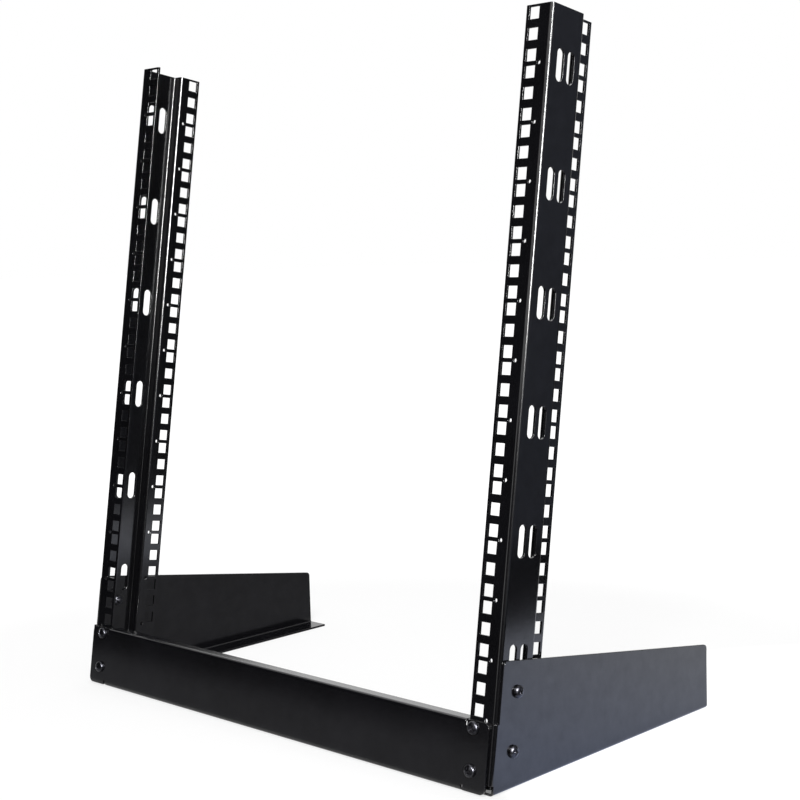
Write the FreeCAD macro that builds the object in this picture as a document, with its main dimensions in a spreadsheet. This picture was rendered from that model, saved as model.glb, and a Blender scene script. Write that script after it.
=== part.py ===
import FreeCAD, Part
import math
import os

import Sketcher
from FreeCAD import Placement, Rotation, Vector

# Desktop frame rack: two bent sheet steel posts leaning back from a base of
# one front bar and two tapered side brackets, held with pan head screws.
# The posts, bar, brackets and screws share one rail frame: X across, Y to the
# rear at right angles to the posts, Z up along the posts. The tilt turns that
# frame so that the brackets lie flat on the floor at Z = 0.

SIZES = [
    ("rack_units", 12, "height of the open bay, in rack units"),
    ("unit_height", 44.45, "one rack unit"),
    ("hole_inset", 6.35, "unit boundary to the nearest rack hole centre"),
    ("hole_step", 15.875, "rack hole centres inside one unit"),
    ("hole_size", 9.5, "side of a square rack hole"),
    ("column_half", 232.55, "centre plane to the rack hole column"),
    ("mark_offset", 8.0, "rack hole column to the round unit marks"),
    ("mark_size", 3.0, "diameter of a unit mark"),
    ("tilt", 9.0, "degrees that the posts lean back"),
    ("sheet", 2.0, "steel thickness of every bent piece"),
    ("bend_inner", 1.0, "inside radius of every bend"),
    ("column_edge", 17.45, "rack hole column to the outer face of a post"),
    ("post_half", "=column_half + column_edge", "centre plane to the outer face of a post"),
    ("flange_width", 25.0, "width of a post's front flange"),
    ("web_depth", 39.5, "front of a post to the rear face of its step"),
    ("step_inset", 9.5, "web to rear plate, across the rack"),
    ("post_depth", 60.3, "front of a post to its rear edge"),
    ("rear_column", 52.9, "front of a post to its rear hole column"),
    ("slot_width", 8.0, "width of a web slot"),
    ("slot_length", 25.0, "height of a web slot, ends included"),
    ("slot_gap", 12.7, "between the two slot columns"),
    ("web_centre", 20.3, "front of a post to the middle of its slots"),
    ("side_screw_rise", 22.225, "side screws above and below the base line"),
    ("foot_gap", 2.5, "post foot above the bracket's floor flange"),
    ("base_drop", 54.8, "base line down to the floor at the bar's front"),
    ("origin_back", 9.0, "bar's lower front corner back to the origin, on the floor"),
    ("bar_set", 4.3, "outer face of a bracket to the end of the front bar"),
    ("bar_half", "=post_half + sheet - bar_set", "centre plane to the end of the front bar"),
    ("bar_below", 1.0, "base line down to the top of the bar"),
    ("bar_floor_gap", 0.7, "floor to the lower edge of the bar's ends"),
    ("bar_corner", 5.0, "corner radius of the bar's front plate"),
    ("bar_flange", 15.0, "depth of the bar's top and floor flanges"),
    ("bar_flange_gap", 1.0, "post flange to the end of a bar flange"),
    ("relief", 2.0, "width of the slots beside the bar's flanges"),
    ("bracket_top", 45.5, "base line up to the top edge of a bracket"),
    ("bracket_length", 290.0, "length of a bracket along the floor"),
    ("bracket_set", 2.0, "front of a post to a bracket's upper front edge"),
    ("bracket_corner", 4.0, "radius of a bracket's upper corners"),
    ("lap_width", 26.5, "width of the bracket's flange behind the bar"),
    ("lap_rise", 8.5, "base corner up to the lower end of that flange"),
    ("floor_flange", 24.0, "width of the flange on the floor"),
    ("screw_radius", 2.5, "thread radius of the screws"),
    ("screw_play", 0.25, "screw thread to its hole, all round"),
    ("head_radius", 5.0, "radius of a pan head"),
    ("head_height", 3.5, "height of a pan head"),
    ("head_bevel", 1.7, "bevel round the rim of a pan head"),
    ("front_screw_length", 12.0, "under the head of a front screw"),
    ("side_screw_length", 10.0, "under the head of a side screw"),
    ("screw_tip", 0.6, "chamfer at a screw's tip"),
    ("nut_width", 8.0, "across the flats of a nut"),
    ("nut_height", 4.0, "height of a nut"),
    ("nut_play", 0.1, "screw thread to the nut's bore"),
]

doc = FreeCAD.newDocument("FrameRack")
sheet = doc.addObject("Spreadsheet::Sheet", "Sizes")
for row, (alias, amount, meaning) in enumerate(SIZES, start=1):
    sheet.set("A%d" % row, alias)
    sheet.set("B%d" % row, str(amount))
    sheet.set("C%d" % row, meaning)
    sheet.setAlias("B%d" % row, alias)
doc.recompute()

size = {alias: float(sheet.get(alias)) for alias, amount, meaning in SIZES}

# Lines and heights that several pieces share, as expressions on the sheet.
BEND_OUTER = "(Sizes.bend_inner + Sizes.sheet)"
BAR_FRONT = "(-2 * Sizes.sheet)"
HOLE_RADIUS = "(Sizes.screw_radius + Sizes.screw_play)"
TILT = "(Sizes.tilt * 1 deg)"
FRONT_LEVELS = {
    "upper": "-Sizes.hole_inset",
    "lower": "-(Sizes.hole_inset + 2 * Sizes.hole_step)",
}
SIDE_LEVELS = {
    "upper": "Sizes.side_screw_rise",
    "lower": "-Sizes.side_screw_rise",
}
# How far a cutting outline runs past the metal that it cuts.
PAST = "1"


def floor_at(y, above="0"):
    """Height in the rail frame of the floor, or of a level above it, at depth y."""
    return ("(-Sizes.base_drop + (%s - %s) * tan(%s) + (%s) / cos(%s))"
            % (y, BAR_FRONT, TILT, above, TILT))


def new_body(label, x="0", y="0", z="0"):
    """Body of one sub-part, tilted, with its own origin at a point of the rail frame."""
    body = doc.addObject("PartDesign::Body", label)
    body.Label = label
    body.Placement = Placement(Vector(0, 0, 0), Rotation(Vector(1, 0, 0), -size["tilt"]))
    back = "(%s - %s)" % (y, BAR_FRONT)
    rise = "(%s + Sizes.base_drop)" % z
    body.setExpression("Placement.Rotation.Angle", "-" + TILT)
    body.setExpression("Placement.Base.x", x)
    body.setExpression("Placement.Base.y", "%s * cos(%s) + %s * sin(%s) - Sizes.origin_back"
                       % (back, TILT, rise, TILT))
    body.setExpression("Placement.Base.z", "%s * cos(%s) - %s * sin(%s)"
                       % (rise, TILT, back, TILT))
    return body


def new_sketch(body, name, role, offset="0"):
    """Sketch on one of the body's own origin planes, moved along its normal."""
    sketch = body.newObject("Sketcher::SketchObject", body.Label + "_" + name)
    plane = [p for p in body.Origin.OriginFeatures if p.Role == role][0]
    sketch.AttachmentSupport = (plane, [""])
    sketch.MapMode = "FlatFace"
    if offset != "0":
        sketch.setExpression("AttachmentOffset.Base.z", offset)
    return sketch


def bind(sketch, kind, refs, start, expression):
    """Dimension driven by the sheet."""
    index = sketch.addConstraint(Sketcher.Constraint(kind, *refs, start))
    sketch.setExpression("Constraints[%d]" % index, expression)


def place_point(sketch, geo, end, where, start):
    """Hold one point of the sketch at two expressions from the origin."""
    for kind, expression, value in zip(("DistanceX", "DistanceY"), where, start):
        bind(sketch, kind, (-1, 1, geo, end), value, expression)


def polygon(sketch, corners):
    """Closed outline whose corners are pairs of expressions."""
    count = len(corners)
    turn = 2 * math.pi / count
    ring = [Vector(math.cos(i * turn), math.sin(i * turn), 0) for i in range(count)]
    for i in range(count):
        sketch.addGeometry(Part.LineSegment(ring[i], ring[(i + 1) % count]), False)
    for i in range(count):
        sketch.addConstraint(Sketcher.Constraint("Coincident", i, 2, (i + 1) % count, 1))
    for i, corner in enumerate(corners):
        place_point(sketch, i, 1, corner, (ring[i].x, ring[i].y))


def add_rectangle(sketch, low, high):
    """Rectangle between two corners given as pairs of expressions."""
    first = sketch.GeometryCount
    ring = [Vector(0, 0, 0), Vector(1, 0, 0), Vector(1, 1, 0), Vector(0, 1, 0)]
    for i in range(4):
        sketch.addGeometry(Part.LineSegment(ring[i], ring[(i + 1) % 4]), False)
    for i in range(4):
        sketch.addConstraint(
            Sketcher.Constraint("Coincident", first + i, 2, first + (i + 1) % 4, 1))
    for i in range(0, 4, 2):
        sketch.addConstraint(Sketcher.Constraint("Horizontal", first + i))
        sketch.addConstraint(Sketcher.Constraint("Vertical", first + i + 1))
    place_point(sketch, first, 1, low, (0, 0))
    place_point(sketch, first + 2, 1, high, (1, 1))


def add_circle(sketch, centre, radius):
    """Circle whose centre and radius are expressions."""
    geo = sketch.addGeometry(Part.Circle(Vector(1, 1, 0), Vector(0, 0, 1), 1), False)
    place_point(sketch, geo, 3, centre, (1, 1))
    bind(sketch, "Radius", (geo,), 1, radius)


def add_slot(sketch, centre, start, half_straight, radius):
    """Upright slot with round ends: its straight sides are 2 * half_straight long."""
    x, y = start
    ends = [Part.Circle(Vector(x, y + way, 0), Vector(0, 0, 1), 1) for way in (1, -1)]
    top = sketch.addGeometry(Part.ArcOfCircle(ends[0], 0, math.pi), False)
    left = sketch.addGeometry(
        Part.LineSegment(Vector(x - 1, y + 1, 0), Vector(x - 1, y - 1, 0)), False)
    bottom = sketch.addGeometry(Part.ArcOfCircle(ends[1], math.pi, 2 * math.pi), False)
    right = sketch.addGeometry(
        Part.LineSegment(Vector(x + 1, y - 1, 0), Vector(x + 1, y + 1, 0)), False)
    for one, other in ((top, left), (left, bottom), (bottom, right), (right, top)):
        sketch.addConstraint(Sketcher.Constraint("Tangent", one, 2, other, 1))
    sketch.addConstraint(Sketcher.Constraint("Equal", top, bottom))
    bind(sketch, "Radius", (top,), 1, radius)
    for geo, way, sign in ((top, 1, "+"), (bottom, -1, "-")):
        middle = (centre[0], "%s %s %s" % (centre[1], sign, half_straight))
        place_point(sketch, geo, 3, middle, (x, y + way))


def pad(body, sketch, length, reverse=False, both=False):
    """Boss of a bound length from a sketch."""
    feature = body.newObject("PartDesign::Pad", sketch.Name + "_pad")
    feature.Profile = sketch
    feature.Reversed = reverse
    feature.Midplane = both
    feature.setExpression("Length", length)
    doc.recompute()
    return feature


def pocket(body, sketch, length, reverse=False):
    """Cut of a bound depth, checked to take material away."""
    before = body.Shape.Volume
    feature = body.newObject("PartDesign::Pocket", sketch.Name + "_pocket")
    feature.Profile = sketch
    feature.Reversed = reverse
    feature.setExpression("Length", length)
    doc.recompute()
    if body.Shape.Volume > before - 0.1:
        raise ValueError(sketch.Name + " cuts nothing")
    return feature


def repeat(body, feature, sketch, count, step):
    """Row of a cut along the upright axis of its sketch."""
    pattern = body.newObject("PartDesign::LinearPattern", feature.Name + "_row")
    pattern.Originals = [feature]
    pattern.Direction = (sketch, ["V_Axis"])
    pattern.setExpression("Occurrences", count)
    pattern.setExpression("Length", "(%s - 1) * %s" % (count, step))
    body.Tip = pattern
    doc.recompute()
    return pattern


def near(a, b):
    return abs(a - b) < 0.01


def runs_along(edge, direction):
    """True if the edge is straight and lies along the direction."""
    ends = [v.Point for v in edge.Vertexes]
    if len(ends) != 2:
        return False
    span = ends[1] - ends[0]
    return near(span.cross(direction).Length, 0) and near(span.Length, edge.Length)


def edges_where(shape, direction, test):
    """Names of the edges along the direction whose end points pass the test."""
    names = []
    for number, edge in enumerate(shape.Edges, start=1):
        if runs_along(edge, direction) and all(test(v.Point) for v in edge.Vertexes):
            names.append("Edge%d" % number)
    return names


def round_edges(body, name, direction, test, radius):
    """Fillet on the straight edges of the body's tip that pass the test."""
    base = body.Tip
    names = edges_where(base.Shape, direction, test)
    if not names:
        raise ValueError(body.Label + " has no edge for " + name)
    feature = body.newObject("PartDesign::Fillet", body.Label + "_" + name)
    feature.Base = (base, names)
    feature.setExpression("Radius", radius)
    doc.recompute()
    return feature


def side_of(sign, expression):
    """The same distance from the centre plane, to the right or the left."""
    return "%d * (%s)" % (sign, expression)


def rack_squares(sketch, x):
    """The three square holes of the lowest rack unit, in one column."""
    half = "Sizes.hole_size / 2"
    for step in range(3):
        middle = "(Sizes.hole_inset + %d * Sizes.hole_step)" % step
        add_rectangle(sketch, (x + " - " + half, middle + " - " + half),
                      (x + " + " + half, middle + " + " + half))


def front_screw_holes(body, sides, offset):
    """Clearance holes for the front screws, through a plate square to their axes."""
    holes = new_sketch(body, "front_screw_holes", "XZ_Plane", offset)
    for sign in sides:
        for z in FRONT_LEVELS.values():
            add_circle(holes, (side_of(sign, "Sizes.column_half"), z), HOLE_RADIUS)
    pocket(body, holes, "Sizes.sheet")


def side_screw_holes(body, sign, outer):
    """Clearance holes for the side screws, through an upright plate."""
    holes = new_sketch(body, "side_screw_holes", "YZ_Plane", side_of(sign, outer))
    for z in SIDE_LEVELS.values():
        add_circle(holes, ("Sizes.web_centre", z), HOLE_RADIUS)
    pocket(body, holes, "Sizes.sheet", reverse=sign < 0)


def build_post(label, sign):
    """Post bent from one sheet: front flange, slotted web, step and rear plate."""
    body = new_body(label)
    t = "Sizes.sheet"
    outer = "Sizes.post_half"
    rear = "(Sizes.post_half - Sizes.step_inset)"
    corners = [
        (outer + " - Sizes.flange_width", "0"),
        (outer, "0"),
        (outer, "Sizes.web_depth"),
        (rear, "Sizes.web_depth"),
        (rear, "Sizes.post_depth"),
        (rear + " - " + t, "Sizes.post_depth"),
        (rear + " - " + t, "Sizes.web_depth - " + t),
        (outer + " - " + t, "Sizes.web_depth - " + t),
        (outer + " - " + t, t),
        (outer + " - Sizes.flange_width", t),
    ]
    section = new_sketch(body, "section", "XY_Plane", "-Sizes.base_drop")
    polygon(section, [(side_of(sign, x), y) for x, y in corners])
    pad(body, section, "Sizes.base_drop + Sizes.rack_units * Sizes.unit_height")

    x_outer = sign * size["post_half"]
    x_inner = x_outer - sign * size["sheet"]
    x_rear = x_outer - sign * size["step_inset"]
    x_rear_inner = x_rear - sign * size["sheet"]
    y_step = size["web_depth"] - size["sheet"]
    outside = [(x_outer, 0), (x_outer, size["web_depth"]), (x_rear_inner, y_step)]
    inside = [(x_inner, size["sheet"]), (x_inner, y_step), (x_rear, size["web_depth"])]
    for name, lines, radius in (("inner_bends", inside, "Sizes.bend_inner"),
                                ("outer_bends", outside, BEND_OUTER)):
        round_edges(body, name, Vector(0, 0, 1),
                    lambda p: any(near(p.x, x) and near(p.y, y) for x, y in lines), radius)

    foot = new_sketch(body, "foot", "YZ_Plane", side_of(sign, outer))
    level = "Sizes.sheet + Sizes.foot_gap"
    below = "-Sizes.base_drop - " + PAST
    front = "(-%s)" % PAST
    back = "(Sizes.post_depth + %s)" % PAST
    polygon(foot, [(front, floor_at(front, level)), (front, below),
                   (back, below), (back, floor_at(back, level))])
    pocket(body, foot, "Sizes.flange_width + " + PAST, reverse=sign < 0)

    columns = [
        ("front", "XZ_Plane", "0", side_of(sign, "Sizes.column_half"),
         side_of(sign, "Sizes.column_half + Sizes.mark_offset"), False),
        ("rear", "YZ_Plane", side_of(sign, rear), "Sizes.rear_column",
         "Sizes.rear_column - Sizes.mark_offset", sign < 0),
    ]
    for name, role, offset, column, marks, reverse in columns:
        squares = new_sketch(body, name + "_holes", role, offset)
        rack_squares(squares, column)
        cut = pocket(body, squares, t, reverse)
        repeat(body, cut, squares, "Sizes.rack_units", "Sizes.unit_height")
        dots = new_sketch(body, name + "_marks", role, offset)
        add_circle(dots, (marks, "0"), "Sizes.mark_size / 2")
        cut = pocket(body, dots, t, reverse)
        repeat(body, cut, dots, "Sizes.rack_units", "Sizes.unit_height")

    slots = new_sketch(body, "web_slots", "YZ_Plane", side_of(sign, outer))
    for way in (-1, 1):
        start = (size["web_centre"] + way * size["slot_gap"] / 2, size["unit_height"])
        add_slot(slots, ("Sizes.web_centre + %d * Sizes.slot_gap / 2" % way, "Sizes.unit_height"),
                 start, "(Sizes.slot_length - Sizes.slot_width) / 2", "Sizes.slot_width / 2")
    cut = pocket(body, slots, t, sign < 0)
    repeat(body, cut, slots, "floor(Sizes.rack_units / 2)", "2 * Sizes.unit_height")

    front_screw_holes(body, [sign], "0")
    side_screw_holes(body, sign, outer)
    return body


def build_bracket(label, sign):
    """Tapered side bracket with a lap flange in front and a flange on the floor."""
    body = new_body(label)
    t = "Sizes.sheet"
    outer = "(Sizes.post_half + Sizes.sheet)"
    low = "(-Sizes.base_drop + Sizes.lap_rise)"
    start = "(Sizes.bend_inner)"
    run = "Sizes.bracket_length"
    heel_y = "(%s + %s * cos(%s))" % (BAR_FRONT, run, TILT)
    heel_z = "(-Sizes.base_drop + %s * sin(%s))" % (run, TILT)
    heel_rise = "((Sizes.bracket_top - %s) / cos(%s))" % (heel_z, TILT)
    panel = new_sketch(body, "panel", "YZ_Plane", side_of(sign, outer))
    polygon(panel, [
        (start, floor_at(start)),
        (heel_y, heel_z),
        ("%s - %s * sin(%s)" % (heel_y, heel_rise, TILT), "Sizes.bracket_top"),
        ("Sizes.bracket_set", "Sizes.bracket_top"),
        ("Sizes.bracket_set", "-Sizes.bar_below"),
        ("-" + t, "-Sizes.bar_below"),
        ("-" + t, low),
        (start, low),
    ])
    pad(body, panel, t, reverse=sign > 0)

    lap = new_sketch(body, "lap", "XZ_Plane", t)
    ends = [side_of(sign, outer + " - Sizes.lap_width"), side_of(sign, outer)]
    add_rectangle(lap, (ends[0], low), (ends[1], "-Sizes.bar_below"))
    pad(body, lap, t, reverse=True)

    ground = new_sketch(body, "ground", "YZ_Plane", side_of(sign, outer))
    polygon(ground, [
        (start, floor_at(start)),
        (heel_y, heel_z),
        ("%s - %s * sin(%s)" % (heel_y, t, TILT), "%s + %s * cos(%s)" % (heel_z, t, TILT)),
        (start, floor_at(start, t)),
    ])
    pad(body, ground, "Sizes.floor_flange", reverse=sign > 0)

    x_outer = sign * (size["post_half"] + size["sheet"])
    x_inner = sign * size["post_half"]
    angle = math.radians(size["tilt"])

    def above_floor(p):
        """Distance of a point from the floor, square to it."""
        rise = p.z + size["base_drop"] - (p.y + 2 * size["sheet"]) * math.tan(angle)
        return rise * math.cos(angle)

    upright = Vector(0, 0, 1)
    along_floor = Vector(0, math.cos(angle), math.sin(angle))
    lines = [
        ("lap_inner", upright, lambda p: near(p.x, x_inner) and near(p.y, 0),
         "Sizes.bend_inner"),
        ("floor_inner", along_floor,
         lambda p: near(p.x, x_inner) and near(above_floor(p), size["sheet"]),
         "Sizes.bend_inner"),
        ("lap_outer", upright, lambda p: near(p.x, x_outer) and near(p.y, -size["sheet"]),
         BEND_OUTER),
        ("floor_outer", along_floor, lambda p: near(p.x, x_outer) and near(above_floor(p), 0),
         BEND_OUTER),
        ("upper_corners", Vector(1, 0, 0), lambda p: near(p.z, size["bracket_top"]),
         "Sizes.bracket_corner"),
    ]
    for name, direction, test, radius in lines:
        round_edges(body, name, direction, test, radius)

    front_screw_holes(body, [sign], t)
    side_screw_holes(body, sign, outer)
    return body


def build_bar(label):
    """Front bar: a plate across both posts with flanges along its top and the floor."""
    body = new_body(label)
    t = "Sizes.sheet"
    top = "-Sizes.bar_below"
    bottom = floor_at("(-Sizes.sheet)", "Sizes.bar_floor_gap")
    plate = new_sketch(body, "plate", "XZ_Plane", "2 * Sizes.sheet")
    add_rectangle(plate, ("-Sizes.bar_half", bottom), ("Sizes.bar_half", top))
    pad(body, plate, t, reverse=True)
    half = size["bar_half"]
    round_edges(body, "corners", Vector(0, 1, 0), lambda p: near(abs(p.x), half),
                "Sizes.bar_corner")

    inner_half = "(Sizes.post_half - Sizes.flange_width - Sizes.bar_flange_gap)"
    toe_y = "(%s + Sizes.bar_flange * cos(%s))" % (BAR_FRONT, TILT)
    toe_z = "(-Sizes.base_drop + Sizes.bar_flange * sin(%s))" % TILT
    section = new_sketch(body, "section", "YZ_Plane")
    polygon(section, [
        (BAR_FRONT, "-Sizes.base_drop"),
        (toe_y, toe_z),
        ("%s - %s * sin(%s)" % (toe_y, t, TILT), "%s + %s * cos(%s)" % (toe_z, t, TILT)),
        ("-" + t, floor_at("(-Sizes.sheet)", t)),
        ("-" + t, "%s - %s" % (top, t)),
        (BAR_FRONT + " + Sizes.bar_flange", "%s - %s" % (top, t)),
        (BAR_FRONT + " + Sizes.bar_flange", top),
        (BAR_FRONT, top),
    ])
    pad(body, section, "2 * " + inner_half, both=True)

    notches = new_sketch(body, "reliefs", "XZ_Plane", "2 * Sizes.sheet")
    deep = "(%s + Sizes.relief)" % BEND_OUTER
    for sign in (-1, 1):
        near_end = side_of(sign, inner_half)
        far_end = side_of(sign, inner_half + " + Sizes.relief")
        add_rectangle(notches, (near_end, "%s - %s" % (top, deep)),
                      (far_end, "%s + %s" % (top, PAST)))
        add_rectangle(notches, (near_end, "-Sizes.base_drop - " + PAST),
                      (far_end, "-Sizes.base_drop + " + deep))
    pocket(body, notches, t)

    y_front = -2 * size["sheet"]
    y_back = -size["sheet"]
    z_top = -size["bar_below"]
    reach = size["post_half"] - size["flange_width"] - size["bar_flange_gap"]
    angle = math.radians(size["tilt"])
    z_floor_bend = -size["base_drop"] + size["sheet"] * (math.tan(angle) + 1 / math.cos(angle))

    def inner_bend(p):
        level = near(p.z, z_top - size["sheet"]) or near(p.z, z_floor_bend)
        return near(p.y, y_back) and near(abs(p.x), reach) and level

    def outer_bend(p):
        level = near(p.z, z_top) or near(p.z, -size["base_drop"])
        return near(p.y, y_front) and near(abs(p.x), reach) and level

    along = Vector(1, 0, 0)
    round_edges(body, "inner_bends", along, inner_bend, "Sizes.bend_inner")
    round_edges(body, "outer_bends", along, outer_bend, BEND_OUTER)
    front_screw_holes(body, [-1, 1], "2 * Sizes.sheet")
    return body


def build_screw(label, kind, sign, seat, length):
    """Pan head screw turned about its axis: a bevelled head on its seat, a plain thread."""
    body = new_body(label, *seat)
    outline = [
        ("0", "Sizes.head_height"),
        ("Sizes.head_radius - Sizes.head_bevel", "Sizes.head_height"),
        ("Sizes.head_radius", "Sizes.head_height - Sizes.head_bevel"),
        ("Sizes.head_radius", "0"),
        ("Sizes.screw_radius", "0"),
        ("Sizes.screw_radius", "-%s + Sizes.screw_tip" % length),
        ("Sizes.screw_radius - Sizes.screw_tip", "-" + length),
        ("0", "-" + length),
    ]
    profile = new_sketch(body, "profile", "XY_Plane")
    if kind == "front":
        polygon(profile, [(radius, "-(%s)" % along) for radius, along in outline])
    else:
        polygon(profile, [(side_of(sign, along), radius) for radius, along in outline])
    turned = body.newObject("PartDesign::Revolution", label + "_turned")
    turned.Profile = profile
    turned.ReferenceAxis = (profile, ["V_Axis" if kind == "front" else "H_Axis"])
    turned.Angle = 360
    doc.recompute()
    return body


def build_nut(label, kind, sign, seat):
    """Hexagon nut on the inner face of a post, with its bore on the screw's axis."""
    body = new_body(label, *seat)
    plane = "XZ_Plane" if kind == "front" else "YZ_Plane"
    outward = kind == "front" or sign > 0
    outline = new_sketch(body, "hexagon", plane)
    corners = []
    for step in range(6):
        angle = "(%d deg)" % (60 * step + 30)
        reach = "Sizes.nut_width / 2 / cos(30 deg)"
        corners.append(("%s * cos%s" % (reach, angle), "%s * sin%s" % (reach, angle)))
    polygon(outline, corners)
    pad(body, outline, "Sizes.nut_height", reverse=outward)
    bore = new_sketch(body, "bore", plane)
    add_circle(bore, ("0", "0"), "Sizes.screw_radius + Sizes.nut_play")
    pocket(body, bore, "Sizes.nut_height", reverse=not outward)
    return body


def build_fasteners():
    """Two screws with nuts through the bar and two through each bracket's side."""
    made = []
    for side, sign in (("left", -1), ("right", 1)):
        column = side_of(sign, "Sizes.column_half")
        for level, z in FRONT_LEVELS.items():
            name = "%s_front_%s" % (side, level)
            made.append(build_screw(name + "_screw", "front", sign,
                                    (column, BAR_FRONT, z), "Sizes.front_screw_length"))
            made.append(build_nut(name + "_nut", "front", sign, (column, "Sizes.sheet", z)))
        face = side_of(sign, "Sizes.post_half + Sizes.sheet")
        inner = side_of(sign, "Sizes.post_half - Sizes.sheet")
        for level, z in SIDE_LEVELS.items():
            name = "%s_side_%s" % (side, level)
            made.append(build_screw(name + "_screw", "side", sign,
                                    (face, "Sizes.web_centre", z), "Sizes.side_screw_length"))
            made.append(build_nut(name + "_nut", "side", sign,
                                  (inner, "Sizes.web_centre", z)))
    return made


pieces = [
    build_post("left_post", -1),
    build_post("right_post", 1),
    build_bar("front_bar"),
    build_bracket("left_bracket", -1),
    build_bracket("right_bracket", 1),
]
pieces.extend(build_fasteners())
doc.recompute()

for item in doc.Objects:
    if "Invalid" in item.State or "Error" in item.State:
        raise ValueError(item.Name + " is " + ", ".join(item.State))

os.makedirs("parts", exist_ok=True)
for piece in pieces:
    shape = piece.Shape
    if not shape.isValid() or len(shape.Solids) != 1:
        raise ValueError(piece.Label + " is not one valid solid")
    shape.exportStep("parts/" + piece.Label + ".step")
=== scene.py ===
import math

import bmesh
import bpy
import numpy as np
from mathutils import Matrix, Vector


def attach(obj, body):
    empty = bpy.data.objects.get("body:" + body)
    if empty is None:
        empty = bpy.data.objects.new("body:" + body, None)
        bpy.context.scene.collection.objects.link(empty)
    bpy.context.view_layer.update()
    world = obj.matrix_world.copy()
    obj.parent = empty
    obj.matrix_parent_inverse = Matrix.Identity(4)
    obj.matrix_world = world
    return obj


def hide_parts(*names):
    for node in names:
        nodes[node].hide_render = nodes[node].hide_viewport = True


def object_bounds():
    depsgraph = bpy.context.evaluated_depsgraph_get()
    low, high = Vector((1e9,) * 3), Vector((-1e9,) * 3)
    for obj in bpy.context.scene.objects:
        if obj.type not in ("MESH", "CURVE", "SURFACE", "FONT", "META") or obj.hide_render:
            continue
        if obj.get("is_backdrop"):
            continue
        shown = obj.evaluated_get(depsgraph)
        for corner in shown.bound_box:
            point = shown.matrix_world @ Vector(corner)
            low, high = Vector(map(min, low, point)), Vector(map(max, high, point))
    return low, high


# Looks of a desktop frame rack: two pierced sheet steel posts that lean back
# from a base of one front bar and two tapered side brackets, all powder coated
# black and held with black pan head screws and hexagon nuts.

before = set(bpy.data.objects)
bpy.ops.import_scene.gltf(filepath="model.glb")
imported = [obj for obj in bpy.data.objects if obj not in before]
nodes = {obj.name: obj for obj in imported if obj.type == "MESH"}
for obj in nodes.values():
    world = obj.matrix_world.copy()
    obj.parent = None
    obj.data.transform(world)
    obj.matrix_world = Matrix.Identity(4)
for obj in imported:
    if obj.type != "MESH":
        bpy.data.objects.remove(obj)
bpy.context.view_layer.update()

MM = 0.001

# ---------------------------------------------------------------- the rail frame

# sizes that place the fasteners, in millimetres, as the CAD has them
LEAN = math.radians(9.0)    # how far the posts lean back
BAR_FRONT = 4.0             # the bar's front face, before the posts' front
BASE_DROP = 54.8            # the lowest unit's lower edge down to the bar's lower front corner
ORIGIN_BACK = 9.0           # from that corner back to the origin
COLUMN_HALF = 232.55        # centre plane to a column of rack holes
WEB_CENTRE = 20.3           # front of a post to its side screws
FLANGE_BACK = 2.0           # front of a post to the back of its flange
BRACKET_FACE = 252.0        # centre plane to a bracket's outer face
WEB_INSIDE = 248.0          # centre plane to the inner face of a post's web


def rail_turn(x, y, z):
    """A direction of the rail frame (across, rearwards, up along the posts), leaned back into the world."""
    return np.array((x, math.cos(LEAN) * y + math.sin(LEAN) * z, -math.sin(LEAN) * y + math.cos(LEAN) * z))


def rail_point(x, y, z):
    """A point of the rail frame in millimetres, as a world point in metres.

    The frame turns about the bar's lower front corner, which is taken as its origin
    for the turn and then moved forwards to its place in the world.
    """
    return (rail_turn(x, y + BAR_FRONT, z + BASE_DROP) - np.array((0.0, ORIGIN_BACK, 0.0))) * MM


# ---------------------------------------------------------------- materials

NOISE_LOW, NOISE_HIGH = 0.3, 0.7    # a noise node's values lie mostly between these
PLAIN_WHITE = (1.0, 1.0, 1.0, 1.0)


def linear(code):
    """An sRGB hex colour as the linear RGBA that the shaders take."""
    parts = np.array([int(code[i:i + 2], 16) for i in (1, 3, 5)]) / 255.0
    light = np.where(parts <= 0.04045, parts / 12.92, ((parts + 0.055) / 1.055) ** 2.4)
    return (*light.tolist(), 1.0)


def add(tree, kind, settings=None, links=None):
    """Adds one node: settings name its properties or input sockets, links join its inputs to (node, output)."""
    made = tree.nodes.new(kind)
    for name, value in (settings or {}).items():
        if isinstance(name, str) and hasattr(made, name):
            setattr(made, name, value)
        else:
            made.inputs[name].default_value = value
    for name, (source, output) in (links or {}).items():
        tree.links.new(source.outputs[output], made.inputs[name])
    return made


def new_material(name):
    """An empty node material with its output node."""
    made = bpy.data.materials.new(name)
    made.use_nodes = True
    made.node_tree.nodes.clear()
    return made, made.node_tree, made.node_tree.nodes.new("ShaderNodeOutputMaterial")


def per_metre(size_mm):
    """The scale of a noise pattern whose features are this many millimetres wide."""
    return 1.0 / (size_mm * MM)


DRIFT_WIDTH = 60.0    # mm, the slow drift of the coat's shade
CLOUD_WIDTH = 14.0    # mm, patches where the sprayed powder lay thicker or was wiped
WAVE_WIDTH = 6.0      # mm, the waves of the baked coat
# mm; the real grain is about 0.3 mm, and is drawn coarser because a pixel is 0.7 mm wide
GRAIN_WIDTH = 0.8


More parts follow.
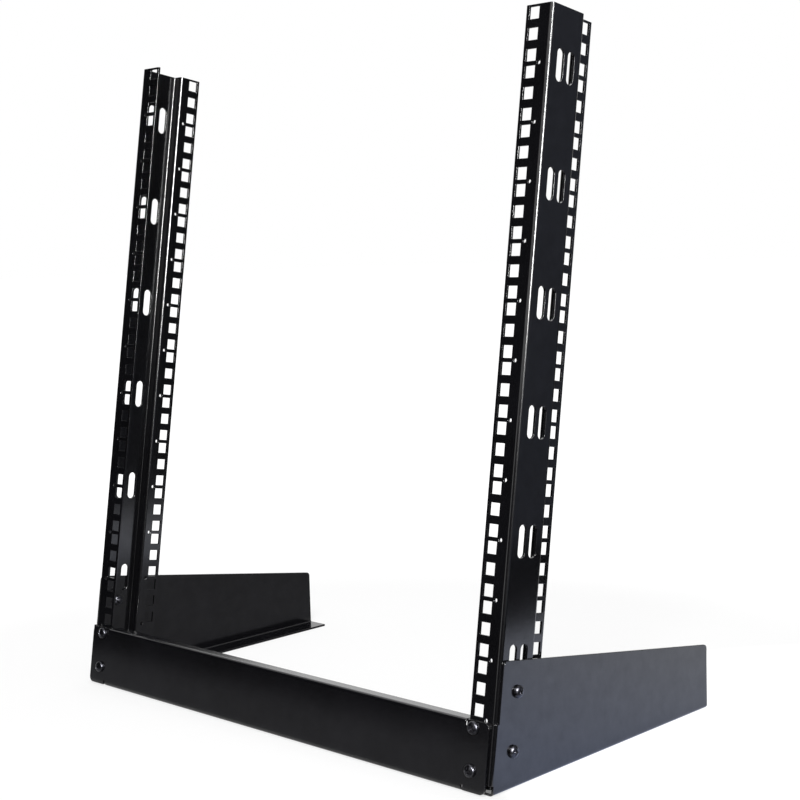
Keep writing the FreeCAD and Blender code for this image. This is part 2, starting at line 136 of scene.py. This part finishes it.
def powder_coat():
    """Black polyester powder coat, baked on sheet steel.

    It gives the eye a near-black ground, a soft satin reflection of the table and a
    fine pebbled grain on slow waves. Faint cloudy patches shine a little more or less.
    """
    material, tree, output = new_material("black_powder_coat")
    place = add(tree, "ShaderNodeTexCoord")
    drift = add(tree, "ShaderNodeTexNoise", {"Scale": per_metre(DRIFT_WIDTH), "Detail": 3.0, "Roughness": 0.5},
                {"Vector": (place, "Object")})
    grain = add(tree, "ShaderNodeTexNoise", {"Scale": per_metre(GRAIN_WIDTH), "Detail": 2.0, "Roughness": 0.6},
                {"Vector": (place, "Object")})
    waves = add(tree, "ShaderNodeTexNoise", {"Scale": per_metre(WAVE_WIDTH), "Detail": 2.0, "Roughness": 0.45},
                {"Vector": (place, "Object")})
    shade = add(tree, "ShaderNodeValToRGB", links={"Fac": (drift, "Fac")})
    shade.color_ramp.elements[0].position = NOISE_LOW
    shade.color_ramp.elements[0].color = linear("#0a0a0c")
    shade.color_ramp.elements[1].position = 0.72
    shade.color_ramp.elements[1].color = linear("#111114")
    gloss = add(tree, "ShaderNodeMapRange",
                {"From Min": NOISE_LOW, "From Max": NOISE_HIGH, "To Min": 0.13, "To Max": 0.19},
                {"Value": (grain, "Fac")})
    cloud = add(tree, "ShaderNodeTexNoise", {"Scale": per_metre(CLOUD_WIDTH), "Detail": 4.0, "Roughness": 0.65},
                {"Vector": (place, "Object")})
    shine = add(tree, "ShaderNodeMapRange",
                {"From Min": NOISE_LOW, "From Max": NOISE_HIGH, "To Min": 0.5, "To Max": 0.64},
                {"Value": (cloud, "Fac")})
    swell = add(tree, "ShaderNodeBump", {"Strength": 0.25, "Distance": 0.05 * MM}, {"Height": (waves, "Fac")})
    pebble = add(tree, "ShaderNodeBump", {"Strength": 0.28, "Distance": 0.02 * MM},
                 {"Height": (grain, "Fac"), "Normal": (swell, "Normal")})
    # the specular level's own value is the mean of the patches, for an export that drops the link
    coat = add(tree, "ShaderNodeBsdfPrincipled", {"IOR": 1.6, "Specular IOR Level": 0.57},
               {"Base Color": (shade, "Color"), "Roughness": (gloss, "Result"), "Normal": (pebble, "Normal"),
                "Specular IOR Level": (shine, "Result")})
    tree.links.new(coat.outputs["BSDF"], output.inputs["Surface"])
    return material


BLOTCH_WIDTH = 1.5    # mm, the blotches that the zinc bath leaves


def black_zinc(name, ground, polish):
    """Black passivated zinc on a cold-formed steel fastener, under its thin clear sealer.

    It gives the eye a dark, faintly blotched metal with soft highlights, and the
    sealer adds a small sharp one. Polish is the metal's lowest roughness.
    """
    material, tree, output = new_material(name)
    place = add(tree, "ShaderNodeTexCoord")
    blotch = add(tree, "ShaderNodeTexNoise", {"Scale": per_metre(BLOTCH_WIDTH), "Detail": 3.0, "Roughness": 0.55},
                 {"Vector": (place, "Object")})
    gloss = add(tree, "ShaderNodeMapRange",
                {"From Min": NOISE_LOW, "From Max": NOISE_HIGH, "To Min": polish, "To Max": polish + 0.1},
                {"Value": (blotch, "Fac")})
    shade = add(tree, "ShaderNodeValToRGB", links={"Fac": (blotch, "Fac")})
    shade.color_ramp.elements[0].position = 0.35
    shade.color_ramp.elements[0].color = linear(ground)
    shade.color_ramp.elements[1].position = NOISE_HIGH
    shade.color_ramp.elements[1].color = linear("#4c4c52")
    metal = add(tree, "ShaderNodeBsdfPrincipled", {"Metallic": 1.0, "Coat Weight": 0.35, "Coat Roughness": 0.14},
                {"Base Color": (shade, "Color"), "Roughness": (gloss, "Result")})
    tree.links.new(metal.outputs["BSDF"], output.inputs["Surface"])
    return material


COAT = powder_coat()
SCREW_STEEL = black_zinc("black_zinc_screw", "#2b2b2f", 0.28)
NUT_STEEL = black_zinc("black_zinc_nut", "#303034", 0.32)

# ---------------------------------------------------------------- fasteners


def grid_faces(rows, columns, start=0, round_rows=False):
    """Quads of a grid that closes on itself across its columns, and along its rows too with round_rows."""
    last = rows if round_rows else rows - 1
    row, column = np.meshgrid(np.arange(last), np.arange(columns), indexing="ij")
    here = row * columns + column
    beside = row * columns + (column + 1) % columns
    above = ((row + 1) % rows) * columns + column
    above_beside = ((row + 1) % rows) * columns + (column + 1) % columns
    return np.stack([here, beside, above_beside, above], axis=-1).reshape(-1, 4) + start


def pole_faces(columns, ring, pole, outwards):
    """Triangles that close a ring of points on one pole point."""
    here = ring + np.arange(columns)
    beside = ring + (np.arange(columns) + 1) % columns
    tip = np.full(columns, pole)
    return np.stack([here, beside, tip] if outwards else [beside, here, tip], axis=-1)


def turned_shell(radius, height, angle, start=0):
    """A closed round shell from rows of radius and height over the angles round its axis.

    Row i, column j lies at (radius * cos angle, radius * sin angle, height). The first
    and the last row shrink to a pole each, so the shell has no open end.
    """
    rows, columns = radius.shape
    points = np.stack([radius * np.cos(angle), radius * np.sin(angle), height], axis=-1).reshape(-1, 3)
    poles = np.array([(0.0, 0.0, height[0].mean()), (0.0, 0.0, height[-1].mean())])
    first, last = start + rows * columns, start + rows * columns + 1
    faces = [grid_faces(rows, columns, start), pole_faces(columns, start, first, False),
             pole_faces(columns, start + (rows - 1) * columns, last, True)]
    return np.concatenate([points, poles]), faces


def stood_on(points, seat, outwards, turn):
    """Points of a fastener, z along its axis in millimetres, stood on its seat and turned about the axis."""
    out = np.array(outwards) / np.linalg.norm(outwards)
    side = np.cross((0.0, 0.0, 1.0), out)
    side = side / np.linalg.norm(side)
    up = np.cross(out, side)
    across = math.cos(turn) * side + math.sin(turn) * up
    along = math.cos(turn) * up - math.sin(turn) * side
    return seat + MM * (points[:, :1] * across + points[:, 1:2] * along + points[:, 2:3] * out)


SHARP_FROM = math.radians(38.0)    # edges that turn further than this stay sharp


def finished(name, points, faces, material, node):
    """A smooth-shaded mesh piece in place of one CAD node, riding on the rack."""
    mesh = bpy.data.meshes.new(name)
    mesh.from_pydata(points.tolist(), [], [face for part in faces for face in part.tolist()])
    mesh.validate()
    mesh.polygons.foreach_set("use_smooth", np.ones(len(mesh.polygons), bool))
    mesh.set_sharp_from_angle(angle=SHARP_FROM)
    mesh.materials.append(material)
    piece = bpy.data.objects.new(name, mesh)
    bpy.context.scene.collection.objects.link(piece)
    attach(piece, "root")
    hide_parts(node)


# the fasteners' own sizes, in millimetres; each stays just inside its CAD solid
HEAD_RADIUS, HEAD_HEIGHT, HEAD_RIM = 4.98, 3.48, 0.9
WING_HALF, WING_REACH = 0.62, 2.65          # the recess's crossed wings
CORE_REACH = 1.75                           # where the corners between the wings are cut away
WALL_STEEPNESS = 4.5                        # depth over distance on the recess's walls
WING_DEPTH, AXIS_DEPTH = 0.55, 1.75         # depth at the wings' ends, and how much deeper the axis is
THREAD_PITCH, THREAD_ROOT, THREAD_HEIGHT = 0.8, 2.02, 0.44
TIP_RADIUS, TIP_SLOPE = 1.75, 0.9           # the narrowed end of the shank
SHANK_GAP, SHANK_INTO_HEAD = 0.02, 0.4      # the shank ends short of the solid's, and starts inside the head
NUT_FLATS, NUT_HEIGHT, NUT_BORE = 7.96, 3.96, 2.62
SINK_RADIUS, SINK_DEPTH = 3.05, 0.45        # the countersink round the nut's bore
CHAMFER_START = 3.8                         # radius from which a nut's faces fall away
CHAMFER = math.radians(30.0)


def cross_recess(radius, angle):
    """Depth of the cross recess below the head's top, in millimetres.

    The distance inside the outline of two crossed wings, 1.24 mm wide and cut back
    straight across the corners between them, times the steepness of the walls, and no
    deeper than a cone that falls from the wings' ends to 2.3 mm at the axis.
    """
    u = np.abs(radius * np.cos(angle))
    v = np.abs(radius * np.sin(angle))
    wing = WING_HALF - np.minimum(u, v)
    core = (CORE_REACH - (u + v)) / math.sqrt(2.0)
    inside = np.minimum(np.maximum(wing, core), WING_REACH - np.maximum(u, v))
    floor = WING_DEPTH + AXIS_DEPTH * np.clip(1.0 - radius / WING_REACH, 0.0, 1.0)
    return np.minimum(np.clip(inside * WALL_STEEPNESS, 0.0, None), floor)


def screw_head():
    """A pan head with its cross recess, seated at height 0.

    Its top is a flattened dome: the height above a straight rim follows
    (1 - (r / R) ^ 2.7) ^ (1 / 2.1), less the depth of the recess. The edge under the
    rim is rounded in two steps.
    """
    columns = 144
    sweep = np.linspace(0.0, 1.0, 66)[1:]
    angle = np.linspace(0.0, 2.0 * math.pi, columns, endpoint=False)
    reach = HEAD_RADIUS * np.sin(sweep * math.pi / 2.0)
    fall = 1.0 - np.clip(reach / HEAD_RADIUS, 0.0, 1.0) ** 2.7
    dome = HEAD_RIM + (HEAD_HEIGHT - HEAD_RIM) * fall ** (1.0 / 2.1)
    radius, around = np.meshgrid(reach, angle, indexing="ij")
    top = dome[:, None] - cross_recess(radius, around)
    under = np.array(((HEAD_RADIUS, 0.35), (HEAD_RADIUS - 0.1, 0.1), (HEAD_RADIUS - 0.35, 0.0), (1.0, 0.0)))
    rim_radius = np.repeat(under[:, :1], columns, axis=1)
    rim_height = np.repeat(under[:, 1:], columns, axis=1)
    return turned_shell(np.concatenate([radius, rim_radius])[::-1], np.concatenate([top, rim_height])[::-1], angle)


def pan_screw_points(length):
    """A pan head, and a threaded shank this long below it.

    The shank's radius waves once a turn and once a pitch along the axis, which draws
    the thread's helix, with its crests and roots cut flat. The tip is narrowed.
    """
    head, head_faces = screw_head()
    angle = np.linspace(0.0, 2.0 * math.pi, 36, endpoint=False)
    depth = np.linspace(SHANK_GAP - length, SHANK_INTO_HEAD, int(length / THREAD_PITCH * 9))
    level, around = np.meshgrid(depth, angle, indexing="ij")
    turn = level / THREAD_PITCH - around / (2.0 * math.pi)
    ridge = np.abs(2.0 * (turn - np.floor(turn)) - 1.0)
    radius = THREAD_ROOT + THREAD_HEIGHT * np.clip(1.25 * ridge - 0.12, 0.0, 1.0)
    radius = np.minimum(radius, TIP_RADIUS + TIP_SLOPE * (level + length))
    shank, shank_faces = turned_shell(radius, level, angle, len(head))
    return np.concatenate([head, shank]), head_faces + shank_faces


def hex_nut_points():
    """A hexagon nut with chamfered corners and a countersunk bore.

    A closed profile is carried round the axis: its outer radius is the hexagon's,
    F / 2 / cos(angle from the nearest flat), and where it passes 3.8 mm the faces fall
    away at 30 degrees, which leaves the curved arcs on the flats. The profile's upper
    half mirrors the lower one.
    """
    columns = 96
    angle = np.linspace(0.0, 2.0 * math.pi, columns, endpoint=False)
    from_flat = np.mod(angle + math.pi / 6.0, math.pi / 3.0) - math.pi / 6.0
    hexagon = NUT_FLATS / 2.0 / np.cos(from_flat)
    fall = np.clip(hexagon - CHAMFER_START, 0.0, None) * math.tan(CHAMFER)
    flat = np.ones(columns)
    ring = [(NUT_BORE * flat, SINK_DEPTH * flat), (SINK_RADIUS * flat, 0.0 * flat),
            (CHAMFER_START * flat, 0.0 * flat), (hexagon, fall)]
    ring += [(wide, NUT_HEIGHT - high) for wide, high in reversed(ring)]
    radius = np.array([pair[0] for pair in ring])
    height = np.array([pair[1] for pair in ring])
    points = np.stack([radius * np.cos(angle), radius * np.sin(angle), height], axis=-1).reshape(-1, 3)
    return points, [grid_faces(len(ring), columns, round_rows=True)]


def fastener_pair(name, seat, outwards, nut_seat, length, turn):
    """One pan head screw on its seat, and the nut on its inner end."""
    points, faces = pan_screw_points(length)
    finished(name + "_pan_screw", stood_on(points, seat, outwards, turn), faces,
             SCREW_STEEL, name + "_screw")
    points, faces = hex_nut_points()
    finished(name + "_hex_nut", stood_on(points, nut_seat, -np.array(outwards), 0.6 * turn), faces,
             NUT_STEEL, name + "_nut")


FRONT_LENGTH, SIDE_LENGTH = 12.0, 10.0    # mm under the head

# level, and heights of the front and the side screws above the lowest unit's lower edge, in mm
LEVELS = (("upper", -6.35, 22.225), ("lower", -38.1, -22.225))

# how far each screw was turned when it was tightened, in degrees
TURNS = {"left_front_upper": 12, "left_front_lower": 38, "left_side_upper": 65, "left_side_lower": 20,
         "right_front_upper": 50, "right_front_lower": 8, "right_side_upper": 30, "right_side_lower": 74}

for side, sign in (("left", -1.0), ("right", 1.0)):
    for level, front_z, side_z in LEVELS:
        name = "%s_front_%s" % (side, level)
        fastener_pair(name, rail_point(sign * COLUMN_HALF, -BAR_FRONT, front_z), rail_turn(0.0, -1.0, 0.0),
                      rail_point(sign * COLUMN_HALF, FLANGE_BACK, front_z), FRONT_LENGTH, math.radians(TURNS[name]))
        name = "%s_side_%s" % (side, level)
        fastener_pair(name, rail_point(sign * BRACKET_FACE, WEB_CENTRE, side_z), (sign, 0.0, 0.0),
                      rail_point(sign * WEB_INSIDE, WEB_CENTRE, side_z), SIDE_LENGTH, math.radians(TURNS[name]))

# ---------------------------------------------------------------- sheet pieces


MERGE_WITHIN = 0.002 * MM            # corners nearer than this are one
FLAT_WITHIN = math.radians(0.3)      # neighbours that turn less than this are one flat
EASED_WIDTH = 0.3 * MM               # how wide the coat rounds a cut edge
EASED_FROM = math.radians(40.0)      # a bend's own facets turn by less


def merged_copy(node):
    """A copy of a CAD node's mesh, its loose triangles joined where their corners meet and its flats made whole."""
    work = bmesh.new()
    work.from_mesh(nodes[node].data)
    bmesh.ops.remove_doubles(work, verts=work.verts, dist=MERGE_WITHIN)
    bmesh.ops.dissolve_limit(work, angle_limit=FLAT_WITHIN, use_dissolve_boundaries=False,
                             verts=work.verts, edges=work.edges)
    mesh = bpy.data.meshes.new(node + "_coated")
    work.to_mesh(mesh)
    work.free()
    return mesh


NORMAL_STEPS = 400.0       # faces whose normals differ by less than about 1 / 400 share a plane
PLANE_STEP = 0.02 * MM     # if their planes also lie nearer than this
LEAST_LENGTH = 1e-60       # keeps a normal of no length from dividing by nothing


def shade_evenly(mesh):
    """Corner normals that keep the flats flat and let only the bends and edges curve.

    Each point's normal is the mean of its faces' normals, every face weighed by the
    cube of the area of the whole plane that it lies in. A thin triangle counts as much
    as the flat it belongs to, and a flat's own normal holds right up to its edge.
    """
    count = len(mesh.polygons)
    normal, centre, area = np.empty(count * 3), np.empty(count * 3), np.empty(count)
    mesh.polygons.foreach_get("normal", normal)
    mesh.polygons.foreach_get("center", centre)
    mesh.polygons.foreach_get("area", area)
    normal, centre = normal.reshape(-1, 3), centre.reshape(-1, 3)
    offset = np.sum(normal * centre, axis=1)
    plane = np.column_stack([np.round(normal * NORMAL_STEPS), np.round(offset / PLANE_STEP)])
    _, which = np.unique(plane, axis=0, return_inverse=True)
    which = which.ravel()
    weight = (np.bincount(which, area)[which] / area.max()) ** 3
    corners = np.empty(len(mesh.loops), np.int64)
    mesh.loops.foreach_get("vertex_index", corners)
    sides = np.empty(count, np.int64)
    mesh.polygons.foreach_get("loop_total", sides)
    pull = np.repeat(normal * weight[:, None], sides, axis=0)
    total = np.stack([np.bincount(corners, pull[:, axis], len(mesh.vertices)) for axis in range(3)], axis=1)
    total /= np.maximum(np.linalg.norm(total, axis=1, keepdims=True), LEAST_LENGTH)
    mesh.polygons.foreach_set("use_smooth", np.ones(count, bool))
    mesh.normals_split_custom_set_from_vertices(total.tolist())


def coated_sheet(node):
    """One bent sheet piece: the CAD solid with its cut edges eased by the coat.

    The eased edges don't slide along the flats' inner edges, because there they would
    fold the flats over themselves.
    """
    mesh = merged_copy(node)
    piece = bpy.data.objects.new(node + "_coated", mesh)
    bpy.context.scene.collection.objects.link(piece)
    eased = piece.modifiers.new("eased_edges", "BEVEL")
    eased.width = EASED_WIDTH
    eased.segments = 3
    eased.limit_method = "ANGLE"
    eased.angle_limit = EASED_FROM
    eased.use_clamp_overlap = False
    eased.loop_slide = False
    bpy.context.view_layer.update()
    piece.data = bpy.data.meshes.new_from_object(piece.evaluated_get(bpy.context.evaluated_depsgraph_get()))
    piece.modifiers.clear()
    piece.data.name = node + "_coated"
    shade_evenly(piece.data)
    piece.data.materials.clear()
    piece.data.materials.append(COAT)
    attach(piece, "root")
    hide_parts(node)


for node in ("left_post", "right_post", "front_bar", "left_bracket", "right_bracket"):
    coated_sheet(node)

# ---------------------------------------------------------------- stage


def staged(name, corners, material):
    """A flat card or floor of the set."""
    mesh = bpy.data.meshes.new(name)
    mesh.from_pydata([tuple(corner) for corner in corners], [], [tuple(range(len(corners)))])
    mesh.materials.append(material)
    made = bpy.data.objects.new(name, mesh)
    bpy.context.scene.collection.objects.link(made)
    made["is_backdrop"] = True
    return made


def seen_directly(tree):
    """The ray kinds, and 1 for rays from the camera, a mirror-like face or glass and 0 for the light on things."""
    rays = add(tree, "ShaderNodeLightPath")
    both = add(tree, "ShaderNodeMath", {"operation": "MAXIMUM"},
               {0: (rays, "Is Camera Ray"), 1: (rays, "Is Glossy Ray")})
    return rays, add(tree, "ShaderNodeMath", {"operation": "MAXIMUM"},
                     {0: (both, 0), 1: (rays, "Is Transmission Ray")})


# where the table glows, in metres, and how much, as shares of white: a painted pool of light and a painted strip
# before the bar that the coat mirrors, and the camera's glow near the rack
POOL_CENTRE, POOL_INNER, POOL_OUTER = (0.43, 0.28, 0.0), 0.28, 0.42
RACK_CENTRE, SHADOW_INNER, SHADOW_OUTER, SHADOW_WHITE = (0.0, 0.1, 0.0), 0.45, 0.9, 0.72
FRONT_DEPTH, FRONT_WHITE = -0.004, 0.3
REAR_START, REAR_END, REAR_SHARE = 0.1, 0.6, 0.8


def white_table():
    """A white laminate table top: it shows white, and keeps the object's soft shadow.

    A matt grey face takes the lamps and the shadow, and a glow that lights nothing is
    added where the table is looked at. The camera sees a white glow of 0.72 near the
    rack, where the shadow falls. It rises to 1 further out and in a round pool to the
    right of the rack and behind it. That pool is a painted pool of light: the coat
    mirrors a glow of 1 in it, a painted reflection of 0.3 before the rack's front, and
    none elsewhere. For the coat the painted pool is a pale blue that turns towards white
    to the rear.
    """
    material, tree, output = new_material("white_laminate_table")
    rays, seen = seen_directly(tree)
    matt = add(tree, "ShaderNodeBsdfDiffuse", {"Color": linear("#848484")})
    place = add(tree, "ShaderNodeTexCoord")
    where = add(tree, "ShaderNodeSeparateXYZ", links={"Vector": (place, "Object")})
    away = add(tree, "ShaderNodeVectorMath", {"operation": "DISTANCE", 1: POOL_CENTRE}, {0: (place, "Object")})
    # a painted pool of light to the right of and behind the rack, glowing 1, which the coat mirrors
    pool = add(tree, "ShaderNodeMapRange",
               {"interpolation_type": "SMOOTHSTEP", "From Min": POOL_INNER, "From Max": POOL_OUTER,
                "To Min": 1.0, "To Max": 0.0}, {"Value": (away, "Value")})
    out = add(tree, "ShaderNodeVectorMath", {"operation": "DISTANCE", 1: RACK_CENTRE}, {0: (place, "Object")})
    edge = add(tree, "ShaderNodeMapRange",
               {"interpolation_type": "SMOOTHSTEP", "From Min": SHADOW_INNER, "From Max": SHADOW_OUTER,
                "To Min": SHADOW_WHITE, "To Max": 1.0}, {"Value": (out, "Value")})
    direct = add(tree, "ShaderNodeMath", {"operation": "MULTIPLY"},
                 {0: (rays, "Is Camera Ray"), 1: (edge, "Result")})
    # a painted bright strip before the bar's front, which the coat mirrors at 0.3
    painted_front_strip = add(tree, "ShaderNodeMapRange",
                {"From Min": 0.0, "From Max": FRONT_DEPTH, "To Min": 0.0, "To Max": FRONT_WHITE},
                {"Value": (where, "Y")})
    bright = add(tree, "ShaderNodeMath", {"operation": "MAXIMUM"}, {0: (pool, "Result"), 1: (painted_front_strip, "Result")})
    both = add(tree, "ShaderNodeMath", {"operation": "MAXIMUM"}, {0: (bright, 0), 1: (direct, 0)})
    amount = add(tree, "ShaderNodeMath", {"operation": "MULTIPLY"}, {0: (both, 0), 1: (seen, 0)})
    rearwards = add(tree, "ShaderNodeMapRange",
                    {"From Min": REAR_START, "From Max": REAR_END, "To Min": 0.0, "To Max": REAR_SHARE},
                    {"Value": (where, "Y")})
    front = add(tree, "ShaderNodeMath", {"operation": "LESS_THAN", 1: 0.0}, {0: (where, "Y")})
    ends = add(tree, "ShaderNodeMath", {"operation": "MAXIMUM"}, {0: (rearwards, "Result"), 1: (front, 0)})
    plain = add(tree, "ShaderNodeMath", {"operation": "MAXIMUM"}, {0: (ends, 0), 1: (rays, "Is Camera Ray")})
    # the painted pool's pale blue in the coat's reflections, turning white to the rear and for the camera
    painted_pool_tint = add(tree, "ShaderNodeMix", {"data_type": "RGBA", 6: linear("#c4d3fb"), 7: PLAIN_WHITE},
               {"Factor": (plain, 0)})
    lift = add(tree, "ShaderNodeEmission", links={"Color": (painted_pool_tint, 2), "Strength": (amount, 0)})
    whole = add(tree, "ShaderNodeAddShader", links={0: (matt, "BSDF"), 1: (lift, "Emission")})
    tree.links.new(whole.outputs[0], output.inputs["Surface"])
    return material


def painted_reflection_card(name, shade):
    """Matt card of one grey, which the coat's flat faces mirror: a painted reflection of dark or grey surroundings.
    """
    material, tree, output = new_material(name)
    matt = add(tree, "ShaderNodeBsdfDiffuse", {"Color": linear(shade)})
    tree.links.new(matt.outputs["BSDF"], output.inputs["Surface"])
    return material


REACH = 30.0     # m, half the table's side
LIFT = 0.0002    # m, the table lies this far below height 0, and the lying cards as far above it
staged("table", [(-REACH, -REACH, -LIFT), (REACH, -REACH, -LIFT), (REACH, REACH, -LIFT), (-REACH, REACH, -LIFT)],
       white_table())


def mirrored_only(card):
    """Hides a card from everything but the coat's reflections."""
    for kind in ("camera", "diffuse", "transmission", "volume_scatter", "shadow"):
        setattr(card, "visible_" + kind, False)


BLACK_REFLECTION_CARD = painted_reflection_card("black_painted_reflection_card", "#1a1a1b")
SLATE_REFLECTION_CARD = painted_reflection_card("slate_painted_reflection_card", "#747477")
GREY_REFLECTION_CARD = painted_reflection_card("grey_painted_reflection_card", "#8d92a2")

# cards that stand beside the set and are seen only in the coat's reflections, as painted reflections of dark and
# grey surroundings: two plan points, and the heights of the lower and the upper edge, in metres
for name, (x0, y0), (x1, y1), low, high, reflection_material in (
        ("right_card", (0.55, -0.05), (0.55, 0.6), 0.09, 2.2, GREY_REFLECTION_CARD),
        ("right_foot_card", (0.55, -0.05), (0.55, 0.6), 0.0, 0.09, BLACK_REFLECTION_CARD),
        ("right_rear_card", (0.55, 0.6), (0.55, 2.6), 0.0, 2.2, BLACK_REFLECTION_CARD),
        ("front_left_card", (-1.5, -0.12), (0.05, -0.42), 0.0, 1.6, BLACK_REFLECTION_CARD),
        ("front_right_card", (0.2, -1.6), (1.5, -1.3), 0.0, 0.58, BLACK_REFLECTION_CARD),
        ("far_right_card", (1.5, -1.3), (1.72, 0.3), 0.0, 0.58, BLACK_REFLECTION_CARD)):
    mirrored_only(staged(name, [(x0, y0, low), (x1, y1, low), (x1, y1, high), (x0, y0, high)], reflection_material))

# cards that lie on the table and are seen only in the coat's reflections, as painted reflections of a darker table,
# by their four corners in plan, in metres
for name, plan, reflection_material in (
        ("front_left_floor_card", [(-1.5, -2.5), (0.25, -2.5), (0.25, -0.03), (-1.5, -0.03)], SLATE_REFLECTION_CARD),
        ("front_right_floor_card", [(0.25, -2.5), (2.5, -2.5), (2.5, -0.03), (0.25, -0.03)], BLACK_REFLECTION_CARD),
        ("right_floor_card", [(0.29, -0.03), (1.6, -0.03), (1.6, 0.9), (0.95, 0.9)], BLACK_REFLECTION_CARD),
        ("middle_floor_card", [(-0.23, 0.03), (0.22, 0.03), (0.22, 0.6), (-0.23, 0.6)], SLATE_REFLECTION_CARD)):
    mirrored_only(staged(name, [(x, y, LIFT) for x, y in plan], reflection_material))

# ---------------------------------------------------------------- light and camera


def white_studio():
    """A white room: it lights the object at 0.55 and shows as white where it is seen."""
    world = bpy.data.worlds.new("white_studio")
    bpy.context.scene.world = world
    world.use_nodes = True
    tree = world.node_tree
    tree.nodes.clear()
    _, seen = seen_directly(tree)
    strength = add(tree, "ShaderNodeMapRange", {"To Min": 0.55, "To Max": 1.0}, {"Value": (seen, 0)})
    sky = add(tree, "ShaderNodeBackground", {"Color": PLAIN_WHITE}, {"Strength": (strength, "Result")})
    tree.links.new(sky.outputs["Background"], add(tree, "ShaderNodeOutputWorld").inputs["Surface"])


def softbox(name, place, aim, width, height, watts):
    """A soft rectangular lamp that points at a spot on the rack."""
    data = bpy.data.lights.new(name, "AREA")
    data.shape = "RECTANGLE"
    data.size = width
    data.size_y = height
    data.energy = watts
    lamp = bpy.data.objects.new(name, data)
    lamp.location = place
    lamp.rotation_euler = (Vector(aim) - Vector(place)).to_track_quat("-Z", "Y").to_euler()
    bpy.context.scene.collection.objects.link(lamp)
    return lamp


white_studio()
softbox("key_softbox", (1.0, -1.1, 1.7), (0.0, 0.1, 0.25), 0.6, 0.5, 34.0)
# the bends and the cut edges mirror this one as bright lines; it adds no light to any face's own colour
edge_lamp = softbox("edge_softbox", (1.9, -0.38, 0.92), (0.1, 0.1, 0.5), 0.7, 0.6, 150.0)
edge_lamp.visible_diffuse = False
softbox("top_softbox", (-0.5, 0.7, 2.2), (0.0, 0.1, 0.2), 1.4, 1.4, 16.0)

# fitted to the holes, screws and corners that the photograph shows
camera_data = bpy.data.cameras.new("camera")
camera_data.sensor_width = 36.0
camera_data.lens = 69.676
camera = bpy.data.objects.new("camera", camera_data)
camera.location = (0.973, -0.8362, 0.3996)
camera.rotation_euler = [math.radians(turn) for turn in (84.507, 1.594, 43.857)]
bpy.context.scene.collection.objects.link(camera)
bpy.context.scene.camera = camera

bpy.context.scene.view_settings.view_transform = "Standard"

low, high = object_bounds()
